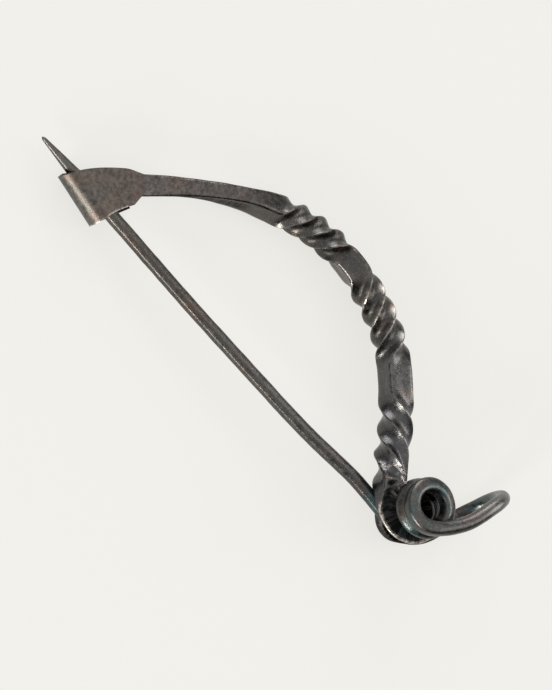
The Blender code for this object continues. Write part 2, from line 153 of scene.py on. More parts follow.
for degrees in range(BEND_ANGLE, 180, BEND_ANGLE):
    bulge = LOOP_BULGE * math.sin(math.radians(degrees))
    height = loop_middle + loop_half * math.cos(math.radians(degrees))
    bend.append((out[-1][0] + bulge * math.cos(heading), out[-1][1] + bulge * math.sin(heading), height))
loop = out + bend + back[::-1]
pin = []
for share, stray in PIN_LINE:
    drop = -PITCH + (PIN_IN_CATCH + PITCH) * float(smooth(share / PIN_SETTLED))
    pin.append((-share * PIN_LENGTH, -COIL_RADIUS + stray * PIN_SAG, drop))


def natural_spline(points):
    """A natural cubic spline through 3-D points: its knots, and the points at an array of distances."""
    points = np.array(points, float)
    chords = np.linalg.norm(np.diff(points, axis=0), axis=1)
    knots = np.concatenate(([0.0], np.cumsum(chords)))
    count = len(points)
    system = np.eye(count)
    right = np.zeros((count, 3))
    for i in range(1, count - 1):
        before, after = chords[i - 1], chords[i]
        system[i, i - 1:i + 2] = (before, 2.0 * (before + after), after)
        right[i] = 6.0 * ((points[i + 1] - points[i]) / after - (points[i] - points[i - 1]) / before)
    bends = np.linalg.solve(system, right)

    def at(distances):
        i = np.clip(np.searchsorted(knots, distances, side="right") - 1, 0, count - 2)
        width = chords[i][:, None]
        low = (knots[i + 1] - distances)[:, None] / width
        high = (distances - knots[i])[:, None] / width
        curve = (low**3 - low) * bends[i] + (high**3 - high) * bends[i + 1]
        return low * points[i] + high * points[i + 1] + curve * width**2 / 6.0

    return knots, at


knots, line_at = natural_spline(bow + near + loop + far + pin)
bow_end = knots[len(bow)] - SHOULDER_LEAD
loop_begin = knots[len(bow) + len(near) - 1]
pin_begin = knots[len(bow) + len(near) + len(loop) + len(far) - 1]
line_end = knots[-1]

# The sections along the line
# The strip is hammered flat and thickens into the square bar, which is twisted one way, back, and the first
# way again. A shoulder steps down to the neck, whose near side is lowered, most of all towards the coil,
# below a thin rim along its outer edge. The wire beyond it is nearly round.
BAR_SIDE = 4.2
HEAD_SIDE = 4.7
BAR_CORNER = 0.45
THIN_CORNER = 0.3
FACE_HOLLOW = 0.2
PLAIN_HOLLOW = 0.12
FULL_RATE = 24.0
STRIP_WIDTH = 3.8
WAIST_WIDTH = 3.0
STRIP_LENGTH = 18.0
ROOT_THICKNESS = 0.77
ROOT_LENGTH = 3.4
THICKENING = 24.0
GROWTH_START = 21.6
BAR_GROWTH = 8.4
# Where each twist begins and ends, as shares of the bow, and its turning in degrees
TWISTS = (
    (0.1, 0.333, -18.0),
    (0.333, 0.5285, -330.0),
    (0.556, 0.774, 348.0),
    (0.814, 1.028, -283.0),
    (1.0, 1.07, 13.0),
)
TWIST_EASE = 0.16
NECK_WIDTH = 3.7
NECK_LENGTH = 9.0
NECK_DEPTH = 3.7
DEPTH_LENGTH = 20.0
NECK_CORNER = 0.4
COIL_CORNER = 0.85
NECK_ROUNDING = 9.0
# Beyond the bow's end: where the neck's near side begins to be lowered, is lowest, and is back at full height
WEDGE_SPAN = (2.0, 6.0, 12.5, 17.5)
WEDGE_DEPTH = 0.85
OUTER_DROP = 0.72
RIM_WIDTH = 0.12
RIM_START = 0.72
RIM_EASE = 0.2
RIM_FOOT = 0.3
RIM_RISE = 0.4
SHOULDER_LENGTH = 1.8
SHOULDER_SLANT = 2.5
SLANT_REACH = 8.0
SHOULDER_SHIFT = 1.6
SHIFT_REACH = 4.5
NEAR_PIN_SHARE = 0.5
# Middle and reach of two small swellings, from the bow's end
ROOT_SHIFT = 0.5
ROOT_PLACE = (2.0, 5.0)
OUTER_BUMP = 0.45
BUMP_PLACE = (-1.0, 3.5)
TOP_FACE = (0.5, 0.4)
PIN_TIP = 0.6
POINT_LENGTH = 9.8
TIP_ROUNDING = 0.4
TIP_LEAST = 0.02
BOW_STEP = 0.17
NECK_STEP = 0.13
WIRE_STEP = 0.3
PIN_STEP = 0.2
AROUND = 52


def ramp(share):
    """Rises from 0 to 1 at an even rate, with a short ease at both ends."""
    share = np.clip(share, 0.0, 1.0)
    rate = 1.0 / (1.0 - TWIST_EASE)
    start = rate * share**2 / (2.0 * TWIST_EASE)
    end = 1.0 - rate * (1.0 - share) ** 2 / (2.0 * TWIST_EASE)
    middle = rate * (share - TWIST_EASE / 2.0)
    return np.where(share < TWIST_EASE, start, np.where(share > 1.0 - TWIST_EASE, end, middle))


def rise(values, start, length):
    """Rises smoothly from 0 at a start to 1 after a length."""
    return smooth((values - start) / length)


def hump(values, middle, reach):
    """Is 1 at its middle and falls smoothly to 0 within its reach on each side."""
    return smooth(1.0 - np.abs(values - middle) / reach)


def band(values, start, length, end, end_length):
    """Rises from a start over a length, and falls back from an end over another."""
    return rise(values, start, length) * (1.0 - rise(values, end, end_length))


def stretch(first, last, step):
    """Even places from a first to just before a last, about a step apart."""
    return np.linspace(first, last, max(2, round((last - first) / step)), endpoint=False)


neck_end = bow_end + WEDGE_SPAN[3]
along = np.concatenate((
    stretch(0.0, bow_end - SHIFT_REACH, BOW_STEP),
    stretch(bow_end - SHIFT_REACH, neck_end, NECK_STEP),
    stretch(neck_end, pin_begin, WIRE_STEP),
    stretch(pin_begin, line_end, PIN_STEP),
    [line_end],
))
beyond = along - bow_end
left = line_end - along
on_pin = along >= pin_begin
grown = rise(along, GROWTH_START, BAR_GROWTH)
bar_start = GROWTH_START + BAR_GROWTH
side = BAR_SIDE + (HEAD_SIDE - BAR_SIDE) * np.clip((along - bar_start) / (bow_end - bar_start), 0, 1)
width = STRIP_WIDTH + (WAIST_WIDTH - STRIP_WIDTH) * smooth(along / STRIP_LENGTH)
width += (side - WAIST_WIDTH) * grown
thickness = ROOT_THICKNESS + (side - ROOT_THICKNESS) * rise(along, ROOT_LENGTH, THICKENING)
corner = np.minimum(BAR_CORNER, thickness * THIN_CORNER)
step_down = smooth(beyond / SHOULDER_LENGTH)
width += (NECK_WIDTH - HEAD_SIDE) * step_down
width += (WIRE_DIAMETER - NECK_WIDTH) * smooth(beyond / NECK_LENGTH)
thickness += (NECK_DEPTH - HEAD_SIDE) * step_down
thickness += (WIRE_DIAMETER - NECK_DEPTH) * smooth(beyond / DEPTH_LENGTH)
corner += (NECK_CORNER - corner) * step_down
corner += (COIL_CORNER - corner) * rise(beyond, WEDGE_SPAN[2], NECK_ROUNDING)
corner += (WIRE_DIAMETER / 2 - corner) * rise(along, loop_begin, WIRE_DIAMETER)

pin_share = (left - POINT_LENGTH) / (line_end - pin_begin - POINT_LENGTH)
pin_width = PIN_DIAMETER + (WIRE_DIAMETER - PIN_DIAMETER) * pin_share
point = PIN_TIP + (PIN_DIAMETER - PIN_TIP) * left / POINT_LENGTH
point *= np.sqrt(np.clip(left / TIP_ROUNDING, TIP_LEAST, 1.0))
pin_width = np.where(left < POINT_LENGTH, point, pin_width)
width = np.where(on_pin, pin_width, width)
thickness = np.where(on_pin, pin_width, thickness)
corner = np.where(on_pin, pin_width / 2, corner)

# Hard twisting draws in the middle of each face
turning = sum(amount * ramp((along / bow_end - begin) / (end - begin)) for begin, end, amount in TWISTS)
tight = np.clip(np.abs(np.gradient(turning, along)) / FULL_RATE, 0.0, 1.0)
hollow = FACE_HOLLOW * (PLAIN_HOLLOW + (1.0 - PLAIN_HOLLOW) * tight) * grown * (1.0 - step_down)

# A superellipse with this power has the rounded corners that a section asks for
roundness = np.clip(2 * corner / np.minimum(width, thickness), 0.0, 1.0)
diagonal = math.sqrt(2) - roundness * (math.sqrt(2) - 1)
power = (1.0 / (0.5 - np.log2(diagonal)))[:, None]
around = np.linspace(0.0, 2 * math.pi, AROUND, endpoint=False)[None, :]
cosine, sine = np.cos(around), np.sin(around)
reach = (np.abs(cosine) ** power + np.abs(sine) ** power) ** (-1.0 / power)
drawn_in = hollow[:, None] * np.cos(2 * around) ** 2
section_x = (reach * width[:, None] / 2 - drawn_in) * cosine
section_y = (reach * thickness[:, None] / 2 - drawn_in) * sine
turn_cos = np.cos(np.radians(turning))[:, None]
turn_sin = np.sin(np.radians(turning))[:, None]
turned_x = section_x * turn_cos - section_y * turn_sin
turned_y = section_x * turn_sin + section_y * turn_cos

# Positive turned_x is away from the pin at the shoulder, and towards the coil's axis on the neck
side_share = 2 * turned_x / thickness[:, None]
up_share = 2 * turned_y / width[:, None]
away_share = smooth(0.5 + side_share / 2)
top_face = rise(up_share, *TOP_FACE)
begin, full, rest, end = WEDGE_SPAN
thinned = band(beyond, begin, full - begin, rest, end - rest)[:, None]
lowered = thinned * (WEDGE_DEPTH * away_share + OUTER_DROP * (1.0 - away_share))
half_height = width[:, None] / 2
turned_y = -half_height + (turned_y + half_height) * (1.0 - lowered)
rim = thinned * rise(-side_share, RIM_START, RIM_EASE) * rise(up_share, -RIM_FOOT, RIM_RISE)
turned_x = turned_x - RIM_WIDTH * rim
lean = SHOULDER_SLANT * hump(beyond, 0.0, SLANT_REACH)[:, None] * np.maximum(turned_x, 0.0) / (HEAD_SIDE / 2)
shift = SHOULDER_SHIFT * (hump(beyond, 0.0, SHIFT_REACH) * (1.0 - step_down))[:, None]
turned_x = turned_x + shift * (NEAR_PIN_SHARE + (1.0 - NEAR_PIN_SHARE) * away_share)
turned_x = turned_x + ROOT_SHIFT * hump(beyond, *ROOT_PLACE)[:, None] * (1.0 - away_share)
turned_x = turned_x + OUTER_BUMP * hump(beyond, *BUMP_PLACE)[:, None] * away_share

# Each section is set square to the middle line, turned as little as possible from the one before
middle = line_at(along)
tangent = np.gradient(middle, axis=0)
tangent /= np.linalg.norm(tangent, axis=1)[:, None]
across = np.zeros_like(middle)
current = np.cross((0.0, 0.0, 1.0), tangent[0])
for i, direction in enumerate(tangent):
    current = current - direction * (current @ direction)
    current /= np.linalg.norm(current)
    across[i] = current
upward = np.cross(tangent, across)
rings = middle[:, None] + across[:, None] * turned_x[..., None] + upward[:, None] * turned_y[..., None]
rings += tangent[:, None] * lean[..., None]

# Relief left by the forging
# The hammer leaves the bar and the wire a little uneven, and scale has pitted the whole surface. The neck's
# near side is torn across where it was drawn out, with rough chips at the shoulder above it.
SWELL = 0.05
SWELL_SCALE = 2.6
PITS = 0.02
PIT_SCALE = 0.55
TEAR_DEPTH = 0.22
TEAR_SCALE = 0.5
TEAR_STRETCH = 0.5
TEAR_SHARE = 0.25
CHIP_DEPTH = 0.22
CHIP_SCALE = 0.75
CHIP_STEPS = 0.5
CHIP_START = 0.1
CHIP_EDGE = 0.12
NEAR_SIDE = 1.2
# Start, rise, end and fall, from the bow's end
TORN_SPAN = (1.5, 1.5, 15.0, 3.0)
CHIPPED_SPAN = (-3.2, 1.5, 0.4, 1.2)
UNTORN_EDGE = (-0.92, 0.15)
FLATS_DEPTH = 0.05
near_side = smooth(turned_y / NEAR_SIDE)
torn = band(beyond, *TORN_SPAN)[:, None] * top_face * rise(side_share, *UNTORN_EDGE)
chipped = band(beyond, *CHIPPED_SPAN)[:, None] * near_side
outward = rings - middle[:, None]
outward /= np.linalg.norm(outward, axis=2)[..., None] + 1e-9
uneven = np.zeros(rings.shape[:2])
sunk = np.zeros(rings.shape[:2])
chip_edge = np.zeros(rings.shape[:2])
for i, ring in enumerate(rings):
    for j, place in enumerate(ring):
        place = Vector(place)
        swell = noise.noise(place / SWELL_SCALE)
        pit = noise.noise(place / PIT_SCALE)
        uneven[i, j] = SWELL * swell - PITS * max(0.0, pit)
        if torn[i, j] > 0:
            in_bar = (along[i] / TEAR_SCALE, section_x[i, j] * TEAR_STRETCH, section_y[i, j] * TEAR_STRETCH)
            tear = noise.noise(in_bar) + TEAR_SHARE
            sunk[i, j] += torn[i, j] * TEAR_DEPTH * max(0.0, tear)
        if chipped[i, j] > 0:
            chip = noise.cell(place / CHIP_SCALE) * CHIP_STEPS + noise.noise(place / CHIP_SCALE)
            sunk[i, j] += chipped[i, j] * CHIP_DEPTH * max(0.0, chip - CHIP_START)
            chip_edge[i, j] = chipped[i, j] * max(0.0, 1.0 - abs(chip - CHIP_EDGE) / CHIP_EDGE)
pin_flats = FLATS_DEPTH * np.abs(np.sin(around * 4)) * on_pin[:, None]
ends = smooth(along / ROOT_LENGTH) * smooth(left / POINT_LENGTH)
rings = rings + outward * ((uneven - pin_flats) * ends[:, None])[..., None]
rings = rings - upward[:, None] * sunk[..., None]

# Wear, painted highlights and painted shade
# Handling has rubbed the bar's arrises and the edges of the shoulder's chips bright. Painted highlights
# lighten the strip's lip, the neck's rim, the near side of the second twist's lobes and an edge of the near
# coil's last turn. Painted shade darkens the tears, the hollows of the twists, the strip's underside, the
# inside of the coils and the far leg.
SHARP_ARRIS = 36
BROAD_ARRIS = 12
FIRST_SHINE = 0.22
LATER_SHINE = 0.10
LATER_PLACE = (60.0, 8.0)
SHINE_END = 4.0
LIP_HIGHLIGHT = 0.35
LIP_END = (21.0, 4.0)
RIM_HIGHLIGHT = 1.6
RIM_SHARE = (0.3, 0.5)
CHIP_SHINE = 0.6
LOBE_HIGHLIGHT = 0.7
LOBE_HIGHLIGHT_PLACE = (54.0, 10.0)
RING_SPAN = (0.0, 1.5, 8.0, 2.0)
RING_EDGE = (0.75, 0.22)
HOLLOW_SHADE = 0.6
HOLLOW_SHADE_FADE = 0.6
SHADE_FADE_PLACE = (62.0, 6.0)
UNDER_SHADE = 0.9
UNDER_EDGE = (0.80, 0.12)
UNDER_START = 3.0
BORE_SHADE = 3.0
BORE_REACH = 1.2
BORE_EASE = 0.6
COIL_START = 20.0
COIL_EASE = 3.0
LAST_TURN_EASE = 4.0
LEG_SHADE = 0.5
LEG_SPAN = (168.0, 6.0, 188.0, 5.0)
strip_part = (1.0 - rise(along, *LIP_END))[:, None]
ring_start = loop_begin - 2 * math.pi * COIL_RADIUS

arris_line = np.sin(2 * around) ** SHARP_ARRIS
shine = FIRST_SHINE + (LATER_SHINE - FIRST_SHINE) * rise(along, *LATER_PLACE)
wear_and_sheen = arris_line * (grown * shine * (1.0 - smooth(beyond / SHINE_END)))[:, None]
# Painted highlight along the strip's lip
wear_and_sheen = np.maximum(wear_and_sheen, LIP_HIGHLIGHT * arris_line * strip_part * (cosine < 0) * (sine < 0))
# Painted highlight along the neck's rim
wear_and_sheen = np.maximum(wear_and_sheen, RIM_HIGHLIGHT * rise(rim, *RIM_SHARE))
wear_and_sheen = np.maximum(wear_and_sheen, CHIP_SHINE * chip_edge)
# Painted highlight on the near side of the second twist's lobes
lobe_highlight = np.sin(2 * around) ** BROAD_ARRIS * hump(along, *LOBE_HIGHLIGHT_PLACE)[:, None]
wear_and_sheen = np.maximum(wear_and_sheen, LOBE_HIGHLIGHT * lobe_highlight * near_side)
# Painted highlight along an edge of the near coil's last turn
ring_highlight = hump(np.arctan2(turned_y, turned_x), *RING_EDGE)
wear_and_sheen = np.maximum(wear_and_sheen, band(along - ring_start, *RING_SPAN)[:, None] * ring_highlight)

# Painted shade in the hollows of the twists, fading towards the third twist
hollows = np.cos(2 * around) ** 4 * (tight * grown * (1.0 - step_down))[:, None]
hollows = hollows * (1.0 - HOLLOW_SHADE_FADE * rise(along, *SHADE_FADE_PLACE))[:, None]
# Painted shade on the underside of the strip
under = rise(-cosine, *UNDER_EDGE) * strip_part * smooth(along / UNDER_START)[:, None]
# Painted shade on the torn, lowered near face of the neck, under the near coil, added to the hollows' and the
# underside's
painted_shade = np.clip(torn + HOLLOW_SHADE * hollows + UNDER_SHADE * under, 0.0, 1.0)
# Painted shade inside the coils, leaving out the near coil's last turn
from_axis = np.hypot(rings[..., 0], rings[..., 1])
in_coil = band(along, bow_end + COIL_START, COIL_EASE, pin_begin, COIL_EASE)
last_turn = rise(along, ring_start, LAST_TURN_EASE) * (along < (loop_begin + pin_begin) / 2)
bore = smooth((COIL_RADIUS + BORE_REACH - from_axis) / BORE_EASE) * (in_coil * (1.0 - last_turn))[:, None]
painted_shade = np.maximum(painted_shade, BORE_SHADE * bore)
# Painted shade on the far leg of the loop
painted_shade = np.maximum(painted_shade, LEG_SHADE * band(along, *LEG_SPAN)[:, None])

# The forging as one skin
# The rings are joined into a closed tube with flat ends. Each point keeps its place along and across the bar,
# its wear and painted highlight, and its painted shade, which the finish reads.


def loft(rings):
    """A closed tube of quads through rings of points, with flat ends."""
    count, around = rings.shape[:2]
    vertices = rings.reshape(-1, 3)
    low = np.arange((count - 1) * around).reshape(count - 1, around)
    faces = np.stack((low, np.roll(low, -1, 1), np.roll(low, -1, 1) + around, low + around), -1)
    faces = faces.reshape(-1, 4).tolist()
    faces.append(list(range(around))[::-1])
    faces.append(list(range((count - 1) * around, count * around)))
    return vertices, faces


def add_piece(name, vertices, faces):
    """A new object whose points are given in the drawing's millimetres."""
    data = bpy.data.meshes.new(name)
    data.from_pydata((np.asarray(vertices) * MM).tolist(), [], faces)
    piece = bpy.data.objects.new(name, data)
    bpy.context.scene.collection.objects.link(piece)
    mesh = bmesh.new()
    mesh.from_mesh(data)
    bmesh.ops.recalc_face_normals(mesh, faces=mesh.faces)
    mesh.to_mesh(data)
    mesh.free()
    return piece


def keep_values(piece, name, kind, values):
    """Stores a value for each point of a piece."""
    attribute = piece.data.attributes.new(name, kind, "POINT")
    field = "vector" if kind == "FLOAT_VECTOR" else "value"
    attribute.data.foreach_set(field, np.asarray(values, np.float32).ravel())


brooch = add_piece("forged_fibula", *loft(rings))
bar_place = np.stack((along[:, None] + 0 * section_x, section_x, section_y), -1)
keep_values(brooch, "bar_place", "FLOAT_VECTOR", bar_place)
keep_values(brooch, "wear_and_sheen", "FLOAT", wear_and_sheen)
keep_values(brooch, "painted_shade", "FLOAT", painted_shade)

# The catch
# The foot of the strip is spread into a thin sheet, rolled round the pin's point and left open towards the
# bow, with a second, shorter layer behind the first. It grows out of the strip without a joint.
ROLL_RADIUS = 1.85
ROLL_FLARE = 0.5
ROLL_DROP = 0.55
ROLL_SLANT = 1.0
FRONT_HEIGHT = 10.2
FRONT_CUT = 9.9
FRONT_SPREAD = 2.5
SPREAD_HEIGHT = 9.8
BACK_HEIGHT = 6.4
BACK_CUT = 7.4
BACK_SPREAD = 3.5
BACK_LEAN = 7.0
EDGE_SLANT = 2.1
FRONT_CURVES = (1.41, 1.75)
BACK_CURVES = (1.66, 1.2)
FRONT_CORNER = 0.9
CORNER_START = 0.8
SHEET_SWELL = 0.02
RIM_WEAR = 0.25
WORN_HEIGHT = 8.4
SHEET_COLUMNS = 48
SHEET_ROWS = 44
ROLL_ROWS = 34
# The finish tells the sheet from the bar by a place below 0
SHEET_PLACE = -20.0
SAME_PLACE = 1e-7

quarter = math.pi / 2 * (ROLL_RADIUS + ROLL_FLARE)
sheet_top = quarter + FRONT_HEIGHT
sheet_low = -quarter - BACK_HEIGHT
heights = np.concatenate((
    np.linspace(sheet_low, -quarter, SHEET_ROWS, endpoint=False),
    np.linspace(-quarter, quarter, ROLL_ROWS, endpoint=False),
    np.linspace(quarter, sheet_top, SHEET_ROWS),
))


def catch_point(x, height):
    """Bends a point of the flat sheet round the roll: front layer, roll, back layer."""
    share = (x + PIN_LENGTH - CATCH_OVERHANG) / CATCH_LENGTH
    radius = ROLL_RADIUS + ROLL_FLARE * share
    axis_y = -COIL_RADIUS - ROLL_DROP - ROLL_SLANT * share
    half_turn = math.pi / 2 * radius
    if height > half_turn:
        return (x, axis_y + height - half_turn, 0.0)
    if height < -half_turn:
        slope = math.radians(BACK_LEAN)
        further = -height - half_turn
        return (x, axis_y + further * math.cos(slope), -2.0 * radius + further * math.sin(slope))
    angle = height / radius
    return (x, axis_y - radius * math.cos(angle), -radius + radius * math.sin(angle))


sheet = []
sheet_place = []
sheet_rim = []
point_end = -PIN_LENGTH + CATCH_OVERHANG
for height in heights:
    if height > 0:
        cut = FRONT_CUT * (height / sheet_top) ** FRONT_CURVES[0]
        cut += FRONT_CORNER * float(smooth((height / sheet_top - CORNER_START) / (1.0 - CORNER_START)))
        spread = FRONT_SPREAD * min(height / SPREAD_HEIGHT, 1.0) ** FRONT_CURVES[1]
    else:
        cut = BACK_CUT * (height / sheet_low) ** BACK_CURVES[0]
        spread = BACK_SPREAD * (height / sheet_low) ** BACK_CURVES[1]
    slant = EDGE_SLANT * max(0.0, (height - quarter) / (sheet_top - quarter))
    worn_here = -quarter / 2 < height < WORN_HEIGHT
    for share in np.linspace(0.0, 1.0, SHEET_COLUMNS + 1):
        x = point_end + cut + (CATCH_LENGTH + spread - cut) * share
        place = Vector(catch_point(x, height - slant * share))
        place.z += SHEET_SWELL * noise.noise(place / SWELL_SCALE)
        sheet.append(place[:])
        sheet_place.append((SHEET_PLACE - height, x, 0.0))
        from_edge = (1.0 - share) * (CATCH_LENGTH + spread - cut)
        sheet_rim.append(max(0.0, 1.0 - from_edge / RIM_WEAR) if worn_here else 0.0)
grid = np.arange(len(heights) * (SHEET_COLUMNS + 1)).reshape(len(heights), SHEET_COLUMNS + 1)
quads = np.stack((grid[:-1, :-1], grid[:-1, 1:], grid[1:, 1:], grid[1:, :-1]), -1).reshape(-1, 4).tolist()
catch = add_piece("catch_sheet", sheet, quads)
keep_values(catch, "bar_place", "FLOAT_VECTOR", sheet_place)
keep_values(catch, "wear_and_sheen", "FLOAT", sheet_rim)
keep_values(catch, "painted_shade", "FLOAT", np.zeros(len(sheet)))


def apply_modifier(piece, kind, **settings):
    """Adds a modifier to a piece and applies it."""
    bpy.ops.object.select_all(action="DESELECT")
    piece.select_set(True)
    bpy.context.view_layer.objects.active = piece
    modifier = piece.modifiers.new(kind.title(), kind)
    for name, value in settings.items():
        setattr(modifier, name, value)
    bpy.ops.object.modifier_apply(modifier=modifier.name)


apply_modifier(catch, "SOLIDIFY", thickness=SHEET_THICKNESS * MM, offset=0.0, use_even_offset=True)
# Painted shade inside the catch's roll, deepest on its inner face
inner_shade = []
for vertex in catch.data.vertices:
    x, y, z = vertex.co / MM
    share = (x + PIN_LENGTH - CATCH_OVERHANG) / CATCH_LENGTH
    radius = ROLL_RADIUS + ROLL_FLARE * share
    depth = radius - math.hypot(min(y + COIL_RADIUS + ROLL_DROP + ROLL_SLANT * share, 0.0), z + radius)
    inner_shade.append(float(smooth(0.5 + depth / SHEET_THICKNESS)))
catch.data.attributes["painted_shade"].data.foreach_set("value", inner_shade)

# The union gives the sheet's points values of the bar's, so they get their own back afterwards
catch_values = {}
catch_tree = KDTree(len(catch.data.vertices))
for vertex in catch.data.vertices:
    catch_tree.insert(vertex.co, vertex.index)
catch_tree.balance()
for name, field in (("bar_place", "vector"), ("wear_and_sheen", "value"), ("painted_shade", "value")):
    items = catch.data.attributes[name].data
    catch_values[name] = (field, [tuple(item.vector) if field == "vector" else item.value for item in items])
apply_modifier(brooch, "BOOLEAN", operation="UNION", solver="EXACT", object=catch)
bpy.data.objects.remove(catch)
places = brooch.data.attributes["bar_place"].data
for vertex in brooch.data.vertices:
    _, nearest, apart = catch_tree.find(vertex.co)
    if apart > SAME_PLACE and places[vertex.index].vector.length > 0.0:
        continue
    for name, (field, values) in catch_values.items():
        setattr(brooch.data.attributes[name].data[vertex.index], field, values[nearest])

# Its place in the frame
# Lying on its side, the brooch leans a little on the catch, the bow and the loop. It stands for the one
# solid of the frame, and moves with the only body.
UP_IN_DRAWING = Vector((0.040527, -0.143712, 0.988789))
DRAWING_ORIGIN = Vector((40.176, -7.996, 7.607))
SHARP_ANGLE = 42.0
lay = UP_IN_DRAWING.rotation_difference(Vector((0.0, 0.0, 1.0))).to_matrix()
brooch.data.transform(Matrix.Translation(DRAWING_ORIGIN * MM) @ lay.to_4x4())
brooch.data.shade_smooth()
brooch.data.set_sharp_from_angle(angle=math.radians(SHARP_ANGLE))
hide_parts("fibula")
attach(brooch, "root")

# The finish
# Iron blackened over the fire: dark, satin and faintly brown, with traces of blue-green from the neck to the
# start of the pin. Lighter metal shows where it is worn and where highlights are painted, and painted shade
# lies black and dull in hollows, tears, recesses and on the far leg.
MOTTLE_SCALE = 1300.0
PATCH_SCALE = 260.0
GRAIN_SCALE = 4200.0
RUST = (0.17, 0.10, 0.07, 1.0)
RUST_SHARE = 0.22
BLUE_GREEN = (0.055, 0.10, 0.10, 1.0)
WORN_AND_SHEEN_METAL = (0.56, 0.51, 0.46, 1.0)
PAINTED_SHADE_BLACK = (0.003, 0.003, 0.0035, 1.0)
PAINTED_SHADE_DULLNESS = 0.4
STREAK_STRETCH = (3.2, 0.35, 0.35)
GRAIN_RELIEF = 1.1
RELIEF_DEPTH = 0.00004
# The colour by place along the bar, in millimetres, from the back of the catch to the pin's point: mostly the
# metal's own, with a painted highlight on the catch's roll, painted light on the loop's tip and painted shade
# on the far side of the loop
ZONES = (
    (-40.0, (0.090, 0.075, 0.069)),
    (-23.0, (0.100, 0.088, 0.077)),
    # Painted highlight on the bottom of the catch's roll
    (-19.5, (0.140, 0.142, 0.138)),
    (-12.0, (0.085, 0.085, 0.085)),
    (10.0, (0.100, 0.089, 0.082)),
    (22.0, (0.102, 0.093, 0.087)),
    (30.0, (0.090, 0.085, 0.080)),
    (43.0, (0.062, 0.060, 0.058)),
    (52.0, (0.093, 0.088, 0.082)),
    (65.0, (0.081, 0.081, 0.080)),
    (76.0, (0.087, 0.087, 0.089)),
    (86.0, (0.078, 0.078, 0.081)),
    (110.0, (0.084, 0.082, 0.081)),
    (135.0, (0.090, 0.086, 0.083)),
    (150.0, (0.086, 0.082, 0.080)),
    # Painted light on the tip of the loop
    (162.0, (0.175, 0.170, 0.165)),
    # Painted shade on the far side of the loop, to the start of the far coil
    (174.0, (0.048, 0.047, 0.046)),
    (195.0, (0.046, 0.046, 0.045)),
    (216.0, (0.060, 0.069, 0.073)),
    (232.0, (0.096, 0.092, 0.086)),
    (250.0, (0.100, 0.095, 0.088)),
    (275.0, (0.085, 0.079, 0.073)),
    (295.0, (0.120, 0.114, 0.106)),
)
iron = bpy.data.materials.new("blackened_iron")
iron.use_nodes = True
nodes = iron.node_tree.nodes
links = iron.node_tree.links
shader = nodes["Principled BSDF"]
shader.inputs["Metallic"].default_value = 1.0


def add_node(kind, **values):
    """Adds a node; values are set on its inputs by name, or on the node itself."""
    node = nodes.new(kind)
    for name, value in values.items():
        title = name.replace("_", " ").title()
        if title in node.inputs:
            node.inputs[title].default_value = value
        else:
            setattr(node, name, value)
    return node


def add_math(operation, first, second, clamp=False):
    """Adds a Math node of two values, each a number or another node's output."""
    node = nodes.new("ShaderNodeMath")
    node.operation = operation
    node.use_clamp = clamp
    for socket, value in zip(node.inputs, (first, second)):
        if isinstance(value, (int, float)):
            socket.default_value = value
        else:
            links.new(value, socket)
    return node.outputs[0]


def add_noise(vector, scale, detail, roughness):
    """Adds a noise pattern on a vector."""
    node = add_node("ShaderNodeTexNoise", scale=scale, detail=detail, roughness=roughness)
    links.new(vector, node.inputs["Vector"])
    return node.outputs["Fac"]


def add_range(value, low, high, to_low=0.0, to_high=1.0):
    """Eases a value from one range to another."""
    node = add_node("ShaderNodeMapRange", from_min=low, from_max=high, to_min=to_low, to_max=to_high)
    node.interpolation_type = "SMOOTHSTEP"
    links.new(value, node.inputs["Value"])
    return node.outputs["Result"]


def add_mix(factor, first, second, blend="MIX"):
    """Mixes two colours, each given or another node's output."""
    node = nodes.new("ShaderNodeMix")
    node.data_type = "RGBA"
    node.blend_type = blend
    for socket, value in ((node.inputs[0], factor), (node.inputs[6], first), (node.inputs[7], second)):
        if isinstance(value, (int, float, tuple)):
            socket.default_value = value
        else:
            links.new(value, socket)
    return node.outputs[2]


place = add_node("ShaderNodeTexCoord").outputs["Object"]
bar = add_node("ShaderNodeAttribute", attribute_name="bar_place").outputs["Vector"]
split = nodes.new("ShaderNodeSeparateXYZ")
links.new(bar, split.inputs[0])
distance = split.outputs[0]
wear_and_sheen_value = add_node("ShaderNodeAttribute", attribute_name="wear_and_sheen").outputs["Fac"]
painted_shade_value = add_node("ShaderNodeAttribute", attribute_name="painted_shade").outputs["Fac"]

# The range is eased, so each colour's place on the ramp is eased in the same way
zone_start = ZONES[0][0]
zone = nodes.new("ShaderNodeValToRGB")
links.new(add_range(distance, zone_start, line_end), zone.inputs["Fac"])
zone.color_ramp.interpolation = "EASE"
ramp_points = zone.color_ramp.elements
for i, (zone_place, colour) in enumerate(ZONES):
    share = float(smooth((zone_place - zone_start) / (line_end - zone_start)))
    item = ramp_points[i] if i < 2 else ramp_points.new(share)
    item.position = share
    item.color = (*colour, 1.0)

# Mottling, rust-brown and blue-green patches
mottle = add_noise(place, MOTTLE_SCALE, 4.0, 0.6)
patches = add_noise(place, PATCH_SCALE, 2.0, 0.5)
grain = add_noise(place, GRAIN_SCALE, 2.0, 0.6)
mottle_share = add_range(distance, 8.0, 28.0, 1.0, 0.4)
mottled = add_mix(1.0, zone.outputs["Color"], add_range(mottle, 0.3, 0.7, 0.66, 1.34), "MULTIPLY")
colour = add_mix(mottle_share, zone.outputs["Color"], mottled)
rusty = add_math("MULTIPLY", add_range(patches, 0.5, 0.7), RUST_SHARE)
colour = add_mix(rusty, colour, RUST)
blue_green = add_math("MULTIPLY", add_range(patches, 0.47, 0.36), add_range(distance, 84.0, 92.0))
blue_green = add_math("MULTIPLY", blue_green, add_range(distance, 232.0, 222.0, 0.0, 0.5))
colour = add_mix(blue_green, colour, BLUE_GREEN)

